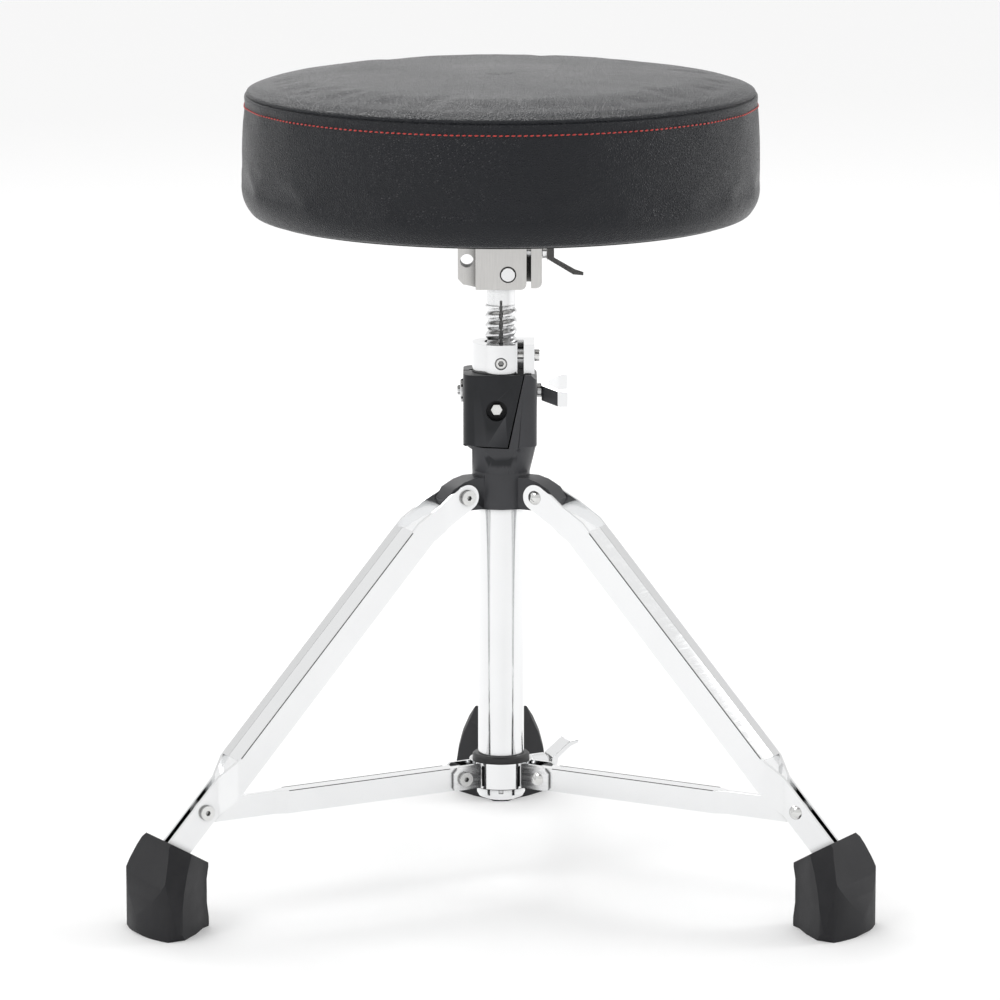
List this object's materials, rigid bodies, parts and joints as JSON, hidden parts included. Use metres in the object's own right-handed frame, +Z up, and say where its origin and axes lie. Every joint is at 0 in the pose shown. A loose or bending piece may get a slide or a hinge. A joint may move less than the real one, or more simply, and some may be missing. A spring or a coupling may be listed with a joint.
{
  "type": "drum throne",
  "caption": "Round padded drum seat on a height-adjusting screw rod, clamped into a folding tripod with rubber feet.",
  "frame": {"origin": "on the floor, on the axis of the centre tube", "axes": "+Z up along the centre tube, +Y towards the back leg, +X to the right as seen from the front"},
  "size_m": [0.5102, 0.4628, 0.5655],
  "materials": {
    "seat_vinyl": "pebble-grained satin vinyl",
    "red_thread": "thread",
    "board": "raw plywood",
    "bracket_steel": "brushed",
    "black_casting": "black satin coat",
    "black_plastic": "moulded",
    "rubber": "matt moulded rubber",
    "fastener_steel": "plated",
    "chrome": "polished"
  },
  "bodies": {
    "column": {"receiver": "black_casting", "thread_nut": "fastener_steel", "jaw_hinge_pin": "fastener_steel", "jaw_bolt_washer": "chrome", "centre_tube": "chrome", "tube_end_cap": "chrome", "leg_pivot_bolts": "fastener_steel"},
    "jaw": {"clamp_jaw": "black_casting", "jaw_hex_nut": "fastener_steel"},
    "jaw_wing": {"jaw_wing_screw": "chrome"},
    "collar": {"memory_collar": "chrome", "collar_set_screw": "fastener_steel", "collar_clamp_bolt": "fastener_steel"},
    "rod": {"screw_rod": "chrome"},
    "seat": {"seat_cushion": "seat_vinyl", "seat_stitching": "red_thread", "seat_board": "board", "seat_bracket": "bracket_steel", "bracket_screws": "fastener_steel", "bracket_clamp_bolt": "chrome"},
    "seat_wing": {"seat_wing_screw": "chrome"},
    "hub": {"hub_ring": "chrome", "hub_bush": "black_plastic", "brace_pivot_bolts": "fastener_steel"},
    "hub_wing": {"hub_wing_screw": "chrome"},
    "back_leg": {"back_leg_strip_a": "chrome", "back_leg_strip_b": "chrome", "back_leg_rivets": "fastener_steel", "back_foot": "rubber"},
    "back_brace_arm": {"back_brace": "chrome"},
    "left_leg": {"left_leg_strip_a": "chrome", "left_leg_strip_b": "chrome", "left_leg_rivets": "fastener_steel", "left_foot": "rubber"},
    "left_brace_arm": {"left_brace": "chrome"},
    "right_leg": {"right_leg_strip_a": "chrome", "right_leg_strip_b": "chrome", "right_leg_rivets": "fastener_steel", "right_foot": "rubber"},
    "right_brace_arm": {"right_brace": "chrome"}
  },
  "joints": [
    {"name": "collar_turn", "type": "hinge", "parent": "column", "child": "collar", "pos_m": [0, 0, 0.3729], "axis": [0, 0, 1], "range_deg": [-1806, 3606]},
    {"name": "rod_lift", "type": "slide", "parent": "collar", "child": "rod", "axis": [0, 0, 1], "range_m": [-0.0336, 0.0671]},
    {"name": "seat_swivel", "type": "hinge", "parent": "rod", "child": "seat", "pos_m": [0, 0, 0.445], "axis": [0, 0, 1], "continuous": true},
    {"name": "seat_wing_turn", "type": "hinge", "parent": "seat", "child": "seat_wing", "pos_m": [0.0283, -0.014, 0.4476], "axis": [1, 0, 0], "continuous": true},
    {"name": "jaw_swing", "type": "hinge", "parent": "column", "child": "jaw", "pos_m": [-0.0203, 0.003, 0.338], "axis": [0, 0, -1], "range_deg": [0, 12]},
    {"name": "jaw_wing_turn", "type": "hinge", "parent": "column", "child": "jaw_wing", "pos_m": [0.025, 0.0172, 0.346], "axis": [1, 0, 0], "continuous": true},
    {"name": "hub_slide", "type": "slide", "parent": "column", "child": "hub", "axis": [0, 0, 1], "range_m": [0, 0.1153]},
    {"name": "hub_wing_turn", "type": "hinge", "parent": "hub", "child": "hub_wing", "pos_m": [0.02988, 0.01725, 0.0808], "axis": [0.866, 0.5, 0], "continuous": true},
    {"name": "back_leg_fold", "type": "hinge", "parent": "column", "child": "back_leg", "pos_m": [0, 0.0325, 0.278], "axis": [-1, 0, 0], "range_deg": [0, 38]},
    {"name": "back_brace_fold", "type": "hinge", "parent": "hub", "child": "back_brace_arm", "pos_m": [0, 0.0334, 0.079], "axis": [-1, 0, 0], "range_deg": [0, 80.04]},
    {"name": "left_leg_fold", "type": "hinge", "parent": "column", "child": "left_leg", "pos_m": [-0.02815, -0.01625, 0.278], "axis": [0.5, -0.866, 0], "range_deg": [0, 38]},
    {"name": "left_brace_fold", "type": "hinge", "parent": "hub", "child": "left_brace_arm", "pos_m": [-0.02893, -0.0167, 0.079], "axis": [0.5, -0.866, 0], "range_deg": [0, 80.04]},
    {"name": "right_leg_fold", "type": "hinge", "parent": "column", "child": "right_leg", "pos_m": [0.02815, -0.01625, 0.278], "axis": [0.5, 0.866, 0], "range_deg": [0, 38]},
    {"name": "right_brace_fold", "type": "hinge", "parent": "hub", "child": "right_brace_arm", "pos_m": [0.02893, -0.0167, 0.079], "axis": [0.5, 0.866, 0], "range_deg": [0, 80.04]}
  ],
  "couplings": [
    {"joint": "collar_turn", "follows": "rod_lift", "rad_per_m": 937.79},
    {"joint": "back_leg_fold", "follows": "hub_slide", "rad_per_m": 5.7522},
    {"joint": "back_brace_fold", "follows": "hub_slide", "rad_per_m": 12.116},
    {"joint": "left_leg_fold", "follows": "hub_slide", "rad_per_m": 5.7522},
    {"joint": "left_brace_fold", "follows": "hub_slide", "rad_per_m": 12.116},
    {"joint": "right_leg_fold", "follows": "hub_slide", "rad_per_m": 5.7522},
    {"joint": "right_brace_fold", "follows": "hub_slide", "rad_per_m": 12.116}
  ]
}
